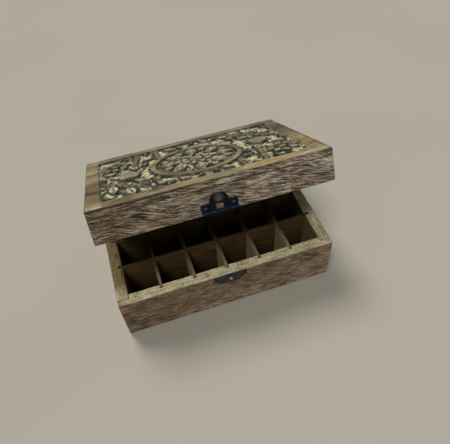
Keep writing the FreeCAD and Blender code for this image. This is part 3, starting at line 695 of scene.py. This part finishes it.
def spokes(turn=0.0):
    """Directions to the petals of a flower, turned by a share of the angle between two of them."""
    for angle in 2 * math.pi * (np.arange(PETALS) + turn) / PETALS:
        yield np.array([math.cos(angle), math.sin(angle)])


class Carving:
    """Relief gathered figure by figure over a grid of places, each new figure lying over those before it.

    Height runs from 0 on the ground to 1 at the border's level. Line is the dark cut round a figure, bare
    says where brown wood shows and not limewash, rubbed is 1 or -1 where the ground was limed or stained,
    and nearest is the distance to the nearest figure. Gouge is how wide the cuts are, as a share of the
    widest."""

    def __init__(self, x, y, gouge=1.0):
        self.x, self.y, self.gouge = x, y, gouge
        self.height, self.line, self.bare, self.rubbed = np.zeros((4, len(x)))
        self.nearest = np.full(len(x), np.inf)

    def figure(self, distance, top=1.0, bare=1.0, groove=0.0, dark=1.0):
        """Cut a line round a figure, as dark as asked, and leave it standing with its top and grooves."""
        body = rise(distance)
        wide = distance / self.gouge
        # The cut, and so the dark line, spans the figure's whole wall: stain, and painted shade of the wall
        cut = smooth(wide, *CUT_START) * (1 - smooth(wide, *CUT_END))
        self.height = np.maximum(self.height * (1 - 0.7 * cut), body * (top - 0.5 * groove))
        self.line = np.maximum(self.line * (1 - body), np.maximum(cut * dark, groove * body))
        self.bare = self.bare * (1 - body) + bare * body
        self.nearest = np.minimum(self.nearest, distance)

    def along(self, start, end):
        """How far along a line each place is as a share, how far to its side, and how far past its ends."""
        run = np.subtract(end, start)
        length = math.hypot(*run)
        x, y = self.x - start[0], self.y - start[1]
        share = (x * run[0] + y * run[1]) / length ** 2
        within = np.clip(share, 0, 1)
        return within, (y * run[0] - x * run[1]) / length, np.abs(share - within) * length

    def blade(self, start, end, width):
        """Distance to a leaf, the share along it and how far aside. Its half-width is a parabola of the
        share."""
        share, aside, past = self.along(start, end)
        half = width / 2 * (1 - (2 * share - 1) ** 2)
        outside = np.hypot(np.maximum(np.abs(aside) - half, 0), past)
        return outside - np.maximum(half - np.abs(aside), 0), share, np.abs(aside)

    def leaf(self, start, end, width, vein, limed=0.0):
        """A leaf with a gouged vein, and limewash in a pointed patch, beside the vein if it has one."""
        distance, share, aside = self.blade(start, end, width)
        groove = vein * ridge_line(aside, LEAF_VEIN) * smooth(share, 0.1, 0.3) * smooth(1 - share, 0.1, 0.3)
        pointed = width / 2 * (1 - np.abs(2 * share - 1)) - aside
        beside = limed * smooth(pointed, -0.4, 0.4) * (smooth(aside, 0.6, 1.4) if vein else 1.0)
        domed = 1 - 0.15 * (2 * aside / width).clip(0, 1)
        self.figure(distance, top=domed, bare=1 - beside, groove=groove)

    def stem(self, start, end, width):
        """A straight stem with round ends, cut by evenly spaced chevrons into pairs of small leaves: V-shaped
        cuts that point to its end, 1 in a cut and 0 between."""
        share, aside, past = self.along(start, end)
        run = share * math.hypot(*np.subtract(end, start))
        notch = smooth(np.cos(2 * math.pi * (run - np.abs(aside)) / STEM_PITCH), 0.4, 0.85)
        half = width / 2 * (1 - 0.4 * notch)
        self.figure(np.hypot(aside, past) - half, groove=0.35 + 0.6 * notch)

    def bell(self, middle):
        """A broad leaf with a flared foot, three gouged veins, two curled lobes, a fine lattice, and limewash
        rubbed in between."""
        reach = np.array([0, BELL_LENGTH / 2])
        self.leaf(middle - reach, middle + reach, BELL_WIDTH, vein=0)
        aside, along = self.x - middle[0], self.y - middle[1]
        inside = rise(np.hypot(aside, along * BELL_SQUASH) - BELL_FLAT)
        veins = ridge_line(np.abs(aside) - BELL_VEINS_APART, BELL_VEIN) + ridge_line(aside, BELL_VEIN)
        from_lobe = np.hypot(np.abs(aside) - LOBE_ASIDE, along - LOBE_ALONG)
        lobes = ridge_line(from_lobe - LOBE_RADIUS, LOBE_LINE)
        gouged = 0.6 * np.maximum(veins * smooth(LOBE_ALONG - along, 0, 4), lobes) * inside
        flare = smooth(-along, BELL_LENGTH * 0.24, BELL_LENGTH * 0.3)
        foot = flare * rise(np.hypot(aside, along + BELL_LENGTH * 0.3) - BELL_FOOT)
        slants = [np.cos(2 * math.pi * (aside + way * along) / LATTICE_PITCH) for way in (1, -1)]
        lattice = 0.5 * smooth(np.maximum(*slants), 0.4, 0.9) * inside
        for cut in (gouged, foot, lattice):
            self.line = np.maximum(self.line, cut)
        self.bare = self.bare * (1 - 0.35 * inside)

    def rub(self, start, end, width, lime):
        """Rub limewash (1) or stain (-1) into a leaf-shaped patch of the ground."""
        patch = 1 - smooth(self.blade(start, end, width)[0], -1.0, 1.0)
        self.rubbed = self.rubbed * (1 - patch) + lime * patch

    def disc(self, middle, radius, bare=1.0):
        """A flat round figure."""
        self.figure(np.hypot(self.x - middle[0], self.y - middle[1]) - radius, bare=bare)

    def petals(self, middle, inner, outer, width, vein, limed, turn=0.0):
        """Leaves set round a middle, from an inner to an outer radius."""
        for aim in spokes(turn):
            self.leaf(middle + inner * aim, middle + outer * aim, width, vein, limed)


def carve_side(work):
    """The scrollwork left of the ring: a flower in the back corner, a bell-shaped leaf, stems, and leaves."""
    for start, end in DARK_GROUND:
        work.rub(start * FIELD, end * FIELD, width=7.0, lime=-1.0)
    for start, end in LIMED_GROUND:
        work.rub(start * FIELD, end * FIELD, width=6.0, lime=0.75)
    for start, end in SMALL_LEAVES:
        work.leaf(start * FIELD, end * FIELD, width=5.0, vein=0.7)
    for start, end in SCROLL_LEAVES:
        work.leaf(start * FIELD, end * FIELD, width=8.0, vein=0.5, limed=0.6)
    work.gouge = FINE_GOUGE
    for start, end in SPRAY_LEAVES:
        work.leaf(start * FIELD, end * FIELD, width=9.0, vein=0.35, limed=1.0)
    for start, end in STEMS:
        work.stem(start * FIELD, end * FIELD, width=5.5)
    work.gouge = 1.0
    flower = FLOWER_PLACE * FIELD
    work.petals(flower, FLOWER_BOSS_RADIUS + 2, FLOWER_RADIUS, width=7.5, vein=0.6, limed=0.4)
    work.disc(flower, FLOWER_BOSS_RADIUS)
    work.bell(BELL_PLACE * FIELD)


def carve_medallion(work):
    """A ring with a low bead inside it, limed in five stretches, round a rosette of florets and petals."""
    inside = RING_RADIUS - RING_BAND
    away = np.hypot(work.x - RING_PLACE[0], work.y - RING_PLACE[1])
    rosette = Carving(work.x, work.y, ROSETTE_GOUGE)
    rosette.petals(RING_PLACE, inner=18, outer=inside - 2, width=15.0, vein=0, limed=1.0)
    for aim in spokes():
        rosette.disc(RING_PLACE + FLORET_REACH * aim, FLORET_RADIUS, bare=0.6)
        rosette.disc(RING_PLACE + FLORET_REACH * aim, FLORET_EYE, bare=0.3)
    rosette.petals(RING_PLACE, inner=26, outer=inside - 1, width=6.0, vein=0.5, limed=0.8, turn=0.5)
    rosette.petals(RING_PLACE, inner=BOSS_RADIUS + 2, outer=16, width=6.0, vein=0.2, limed=1.0, turn=0.5)
    rosette.disc(RING_PLACE, BOSS_RADIUS, bare=0.3)
    rosette.disc(RING_PLACE, BOSS_RADIUS / 2)
    for kept in ("height", "line", "bare", "nearest", "rubbed"):
        setattr(work, kept, np.where(away < RING_RADIUS, getattr(rosette, kept), getattr(work, kept)))
    angle = np.arctan2(work.y - RING_PLACE[1], work.x - RING_PLACE[0])
    brown = smooth(np.cos(BEAD_STRETCHES * angle), -0.2, 0.4)
    work.gouge = FINE_GOUGE
    work.figure(np.abs(away - inside + BEAD_INSET) - BEAD_HALF, top=0.75, bare=0.2 + 0.8 * brown)
    work.gouge = 1.0
    band = np.abs(away - inside - RING_BAND / 2)
    work.figure(band - RING_BAND / 2, top=1 - 0.2 * (2 * band / RING_BAND).clip(0, 1) ** 2)


def carved_field(x, y):
    """Height, stain with painted shade, bare wood and a mask of the carved field, for the face of the lid.

    Figures are read at places that slow noise has nudged, as a hand-cut line wavers, and the half right of
    the ring is the left half turned half round. Stain and painted shade of the cut walls stay in the cuts and
    near the figures, and stain in patches of the ground."""
    spots = np.stack([x, y, np.zeros_like(x)], 1)

    def clouds(size, seed):
        """Noise over the face, with cells of the given size."""
        return noise(spots / size, CARVE_SEED + seed)

    nudged_x, nudged_y = x + 0.9 * clouds(7, 5), y + 0.9 * clouds(7, 6)
    work = Carving(nudged_x, nudged_y)
    for turn in (1, -1):
        work.x, work.y = turn * nudged_x, turn * nudged_y
        carve_side(work)
    work.x, work.y = nudged_x, nudged_y
    carve_medallion(work)
    edge = np.maximum(np.abs(x) - FIELD[0], np.abs(y) - FIELD[1])
    border = -edge + 0.5 * clouds(6, 7)
    # Stain and painted shade on the ground at the foot of each figure's wall, fading out within 2.8 mm
    near = 1 - smooth(work.nearest, 1.4, 2.8)
    dark = smooth(clouds(9, 11), -0.2, 0.4)
    # Fully dark along the back border's wall as painted shade, and patchily dark elsewhere as stain
    work.figure(border, dark=np.maximum(smooth(y / FIELD[1], 0.85, 0.95), 0.6 * dark))
    patches = smooth(clouds(8, 8) + 0.5 * clouds(3.5, 9), -0.1, 0.25)
    strokes = smooth(clouds((1.6, 4.5, 1), 10), 0.1, 0.6)
    stained = np.clip(np.maximum(near, patches) - work.rubbed + 0.6 * strokes, 0, 1)
    ground = (1 - rise(work.nearest)) * stained
    broken = np.clip(0.95 + 0.5 * clouds(5, 1), 0.6, 1)
    stain = np.maximum(work.line, ground) * broken
    tool_marks = 0.05 * clouds(1.8, 2) + 0.05 * clouds(4.5, 3)
    height = np.where(edge < 1, work.height + tool_marks * (1 - 0.4 * work.height), 1.0)
    return np.clip(height, 0, 1), np.clip(stain, 0, 1), np.clip(work.bare, 0, 1), 1 - rise(border)


TOP_SEED = 240
TOP_EDGE = 1.2 * MM
TOP_PITCH = 0.6 * MM
BORDER_LINES = 9
FIELD_MARGIN = 1.5 * MM
PLANED_DEPTH = 0.1 * MM
# How fresh the planed border is, from 0 where it is dull to 1, at places along it in millimetres
LEFT_PATINA = (-79, -68, -55, -20, -13, 20), (0.9, 0.45, 0.0, 0.2, 0.85, 1.0)
RIGHT_PATINA = (-79, -56, -50, -38, -12, 4, 46, 60), (0.8, 0.4, 0.1, 0.95, 0.75, 0.0, 0.0, 0.6)
BACK_PATINA = (-70, -50, -18, 2, 46, 60), (0.95, 0.6, 0.7, 0.25, 0.2, 0.5)
# Where the borders start, the spans over which grime eases in to the back right corner and along the right
# edge, and a patch of it on the right border
SIDE_BORDER, BACK_BORDER = (94, 97), (62, 66)
CORNER_ACROSS, CORNER_DEEP = (55, 104.5), (55.3, 75.05)
EDGE_ACROSS, EDGE_CLEAN = (105.5, 108.5), (46, 56)
GRUBBY_MIDDLE, GRUBBY_REACH = 33, 10


def top_lines(low, high):
    """Grid lines over the lid's top on one axis: coarse on the borders, and fine from just outside the carved
    field."""
    start, end = low + TOP_EDGE, high - TOP_EDGE
    inset = CARVE_BORDER * MM - FIELD_MARGIN
    coarse = np.linspace(start, low + inset, BORDER_LINES)
    dense = np.linspace(low + inset, high - inset, math.ceil((high - low - 2 * inset) / TOP_PITCH) + 1)
    return np.concatenate([coarse[:-1], dense, (start + end) - coarse[-2::-1]])


def border_wear(flat):
    """How fresh and how grubby the lid's top is, 0 to 1: freshness is read along each border and eased
    between them."""
    across, deep = flat[:, 0] / MM, flat[:, 1] / MM
    patina = 0.6 - 0.6 * flat[:, 0] * flat[:, 1] / (HALF_WIDTH * HALF_DEPTH)
    on_right = smooth(across, *SIDE_BORDER)
    borders = (
        (smooth(deep, *BACK_BORDER), across, BACK_PATINA),
        (smooth(-across, *SIDE_BORDER), deep, LEFT_PATINA),
        (on_right, deep, RIGHT_PATINA),
    )
    for share, places, freshness in borders:
        patina += share * (np.interp(places, *freshness) - patina)
    streaks = smooth(noise(flat / (9 * MM, 3 * MM, 1), TOP_SEED + 6), -0.2, 0.3)
    back_corner = smooth(across, *CORNER_ACROSS) * smooth(deep, *CORNER_DEEP) * (1 - on_right)
    grubby = back_corner * (0.2 + 0.3 * streaks)
    grubby += on_right * ridge_line(deep - GRUBBY_MIDDLE, GRUBBY_REACH) * (0.55 + 0.3 * streaks)
    right_edge = smooth(across, *EDGE_ACROSS) * (1 - smooth(deep, *EDGE_CLEAN))
    return patina, np.maximum(grubby, 0.5 * right_edge)


# Rows round the lid's top: angles over its eased edge, how many down its side, and how grimy from the top
EDGE_BENDS = np.radians([30, 60, 90])
SIDE_ROWS = 8
ARRIS_RISE, ARRIS_INSET = 0.4 * MM, 0.3 * MM
GRIME_BY_ROW = (0.2, 0.9, 1.0, 1.0, 0.3, 0.0)
EDGE_CHIP_SIZE, EDGE_CHIP_DEPTH, EDGE_CHIP_DROP = 6 * MM, 0.5 * MM, 0.4 * MM
EDGE_ROUGH = 0.2 * MM


def top_edge(rim, low, high):
    """Rows carried round the rim of the lid's top, over its eased edge and down its sides: the rim pushed
    outward by each row's reach, at that row's level. Returns the points, row by row, and their fields."""
    start, end = rim.min(0), rim.max(0)
    side_x = np.where(rim[:, 0] <= start[0], -1, np.where(rim[:, 0] >= end[0], 1, 0))
    side_y = np.where(rim[:, 1] <= start[1], -1, np.where(rim[:, 1] >= end[1], 1, 0))
    outward = np.stack([side_x, side_y, np.zeros(len(rim))], 1) / np.hypot(side_x, side_y)[:, None]
    drops = np.linspace(high[2] - TOP_EDGE, low[2] + ARRIS_RISE, SIDE_ROWS + 1)[1:]
    over = TOP_EDGE * np.sin(EDGE_BENDS)
    reach = np.concatenate([over, np.full(SIDE_ROWS, TOP_EDGE), [TOP_EDGE - ARRIS_INSET]])
    level = np.concatenate([high[2] - TOP_EDGE + TOP_EDGE * np.cos(EDGE_BENDS), drops, [low[2]]])
    facing = np.repeat(np.concatenate([np.cos(EDGE_BENDS), np.zeros(SIDE_ROWS + 1)]), len(rim))
    row = np.repeat(np.arange(len(level)), len(rim))
    shell = rim[None] + reach[:, None, None] * outward[None]
    shell[:, :, 2] = level[:, None]
    flat = shell.reshape(-1, 3)
    outward = np.tile(outward, (len(level), 1))

    end_grain = np.abs(outward[:, 0]) > 0.8
    place = np.where(end_grain[:, None], flat[:, [1, 2, 0]], flat[:, [0, 2, 1]]) + TOP_SHIFT
    place = wandering(place, TOP_SEED, LID_SLOPES["front"])
    grain = raised_grain(place, TOP_SEED)
    chip = smooth(noise(flat / EDGE_CHIP_SIZE, TOP_SEED + 5), 0.05, 0.8)
    bent = smooth(facing, 0, 0.5) * (1 - smooth(facing, 0.7, 1.0))
    depth = EDGE_ROUGH * (1 - grain) * (facing < 0.9) + EDGE_CHIP_DEPTH * chip * bent
    points = flat - outward * depth[:, None]
    points[:, 2] -= EDGE_CHIP_DROP * chip * bent

    smear = np.interp(row, np.arange(len(GRIME_BY_ROW)), GRIME_BY_ROW) * (0.85 + 0.15 * chip)
    to_right = flat[:, 0] / HALF_WIDTH
    smear *= 1 - 0.6 * smooth(to_right, -0.3, 0.0) * (1 - smooth(to_right, 0.96, 0.985))
    nothing = np.zeros(len(flat))
    under = (row == len(level) - 1).astype(float)
    return points, dict(place=place, grain=grain, fade=0.5 + 2.5 * flat[:, 0], bare=1 - nothing,
                        stain=nothing, carved=nothing, side=1 - facing, inside=under, worn=smear)


def carved_top():
    """The lid's top board: a grid of heights over the carved face, then rows carried round its outline, over
    an eased edge and down the sides, and one flat face below."""
    low, high = extent("lid_top", on_lid=True)
    x, y = np.meshgrid(*[top_lines(low[axis], high[axis]) for axis in (0, 1)], indexing="ij")
    index = np.arange(x.size).reshape(x.shape)
    flat = np.stack([x.ravel(), y.ravel(), np.full(x.size, high[2])], 1)
    height, stain, bare, carved = carved_field(x.ravel() / MM, y.ravel() / MM)
    place = wandering(flat + TOP_SHIFT, TOP_SEED, 0.0)
    grain = raised_grain(place, TOP_SEED)
    patina, grubby = border_wear(flat)
    sink = CARVE_DEPTH * MM * (1 - height) + PLANED_DEPTH * (1 - grain) * height
    top = flat - np.outer(sink, [0, 0, 1])

    loop = np.concatenate([index[:, 0], index[-1, 1:], index[-2::-1, -1], index[0, -2:0:-1]])
    edge, edge_fields = top_edge(flat[loop], low, high)
    rings = np.concatenate([loop[None], x.size + np.arange(len(edge)).reshape(-1, len(loop))])
    closed = np.column_stack([rings, rings[:, 0]])
    faces = np.concatenate([grid_quads(index), grid_quads(closed)]).tolist()
    faces.append(rings[-1][::-1].tolist())

    nothing = np.zeros(x.size)
    fields = dict(place=place, grain=grain, fade=patina, bare=bare, stain=stain, carved=carved, side=nothing,
                  inside=nothing, worn=grubby)
    fields = {name: np.concatenate([values, edge_fields[name]]) for name, values in fields.items()}
    points = turned(np.concatenate([top, edge]), LID_ANGLE)
    finish_piece("carved_top", points, faces, "lid", "lid_top", carved_wood, fields)


carved_top()


# Ironwork

JOIN_GAP = 1e-6
FLAT_ANGLE = math.radians(1)
ARRIS_ANGLE = math.radians(40)
ARRIS_STEPS = 2
ARRIS_GAP = 0.001 * MM
SHEET_ARRIS, SHIELD_ARRIS, STUD_ARRIS = 0.2 * MM, 0.25 * MM, 0.1 * MM


def eased_steel(name, node, body, width, metal=black_steel):
    """A CAD sheet-metal piece with its corners joined and every sharp arris rolled over."""
    mesh = frame["nodes"][node].data.copy()
    mesh.name = name
    shape = bmesh.new()
    shape.from_mesh(mesh)
    bmesh.ops.remove_doubles(shape, verts=shape.verts, dist=JOIN_GAP)
    bmesh.ops.dissolve_limit(shape, angle_limit=FLAT_ANGLE, verts=shape.verts, edges=shape.edges)
    shape.to_mesh(mesh)
    shape.free()
    mesh.materials.clear()
    mesh.materials.append(metal)
    piece = bpy.data.objects.new(name, mesh)
    bevel = piece.modifiers.new("arris", "BEVEL")
    bevel.width = width
    bevel.segments = ARRIS_STEPS
    bevel.limit_method = "ANGLE"
    bevel.angle_limit = ARRIS_ANGLE
    piece.modifiers.new("joined", "WELD").merge_threshold = ARRIS_GAP
    stand_for(piece, body, node)


eased_steel("latch_back_plate", "latch_plate", "lid", SHEET_ARRIS)
eased_steel("flip_hasp", "latch_hasp", "hasp", SHEET_ARRIS, hasp_steel)
eased_steel("shield_plate", "catch_plate", "base", SHIELD_ARRIS, dull_steel)
eased_steel("domed_stud", "catch_stud", "base", STUD_ARRIS, stud_steel)
for side in ("left", "right"):
    eased_steel(f"{side}_butt_lower", f"{side}_hinge_base_leaf", "base", SHEET_ARRIS)
    eased_steel(f"{side}_butt_upper", f"{side}_hinge_lid_leaf", "lid", SHEET_ARRIS)
NAILS = ("catch_nails", "latch_nails", "hinge_base_nails", "hinge_lid_nails")
PINS = ("latch_pin", "left_hinge_pin", "right_hinge_pin")
for node in NAILS + PINS:
    frame["nodes"][node].data.materials.clear()
    frame["nodes"][node].data.materials.append(dull_steel if node in NAILS else black_steel)


# Floor, light and camera

FLOOR_SIZE, FLOOR_LEVEL = 8, -0.0003
SKY_COLOUR = (1.0, 0.985, 0.96, 1.0)
# The sky's strength grows from low to overhead, between these heights of the direction looked in
SKY_HEIGHTS, SKY_STRENGTHS = (-0.1, 0.9), (0.03, 0.195)

bpy.ops.mesh.primitive_plane_add(size=FLOOR_SIZE, location=(0, 0, FLOOR_LEVEL))
backdrop = bpy.context.object
backdrop.name = "backdrop"
backdrop.data.materials.append(floor_finish())

world = bpy.data.worlds.new("studio")
world.use_nodes = True
sky = world.node_tree
background = sky.nodes["Background"]
background.inputs["Color"].default_value = SKY_COLOUR
towards = sky.nodes.new("ShaderNodeTexCoord")
parts = sky.nodes.new("ShaderNodeSeparateXYZ")
brighter = sky.nodes.new("ShaderNodeMapRange")
for socket, value in zip(("From Min", "From Max", "To Min", "To Max"), SKY_HEIGHTS + SKY_STRENGTHS):
    brighter.inputs[socket].default_value = value
sky.links.new(towards.outputs["Generated"], parts.inputs[0])
sky.links.new(parts.outputs["Z"], brighter.inputs["Value"])
sky.links.new(brighter.outputs[0], background.inputs["Strength"])
bpy.context.scene.world = world


def sun(name, towards, strength, softness):
    """A wide soft lamp, some degrees across, shining from the given direction onto the box."""
    light = bpy.data.lights.new(name, "SUN")
    light.energy = strength
    light.angle = math.radians(softness)
    lamp = bpy.data.objects.new(name, light)
    bpy.context.scene.collection.objects.link(lamp)
    back = np.array(towards) / np.linalg.norm(towards)
    right = np.cross([0, 0, 1], back)
    right /= np.linalg.norm(right)
    turn = np.eye(4)
    turn[:3, :3] = np.column_stack([right, np.cross(back, right), back])
    lamp.matrix_world = Matrix(turn.tolist())


sun("top_softbox", (-0.3, -0.36, 1.0), strength=1.25, softness=16)
sun("back_softbox", (-0.16, 0.44, 0.9), strength=2.0, softness=18)

camera_data = bpy.data.cameras.new("camera")
camera_data.sensor_fit = "HORIZONTAL"
camera_data.sensor_width = 36.0
camera_data.lens = 36.01
camera = bpy.data.objects.new("camera", camera_data)
bpy.context.scene.collection.objects.link(camera)
# The camera's turn and, in the last column, its place, fitted to the corners of the box
camera.matrix_world = Matrix((
    (0.94852, 0.26834, -0.16824, -0.06487),
    (-0.31381, 0.7245, -0.6137, -0.30918),
    (-0.04279, 0.6349, 0.77141, 0.42373),
    (0, 0, 0, 1),
))
bpy.context.scene.camera = camera
bpy.context.scene.view_settings.view_transform = "Standard"
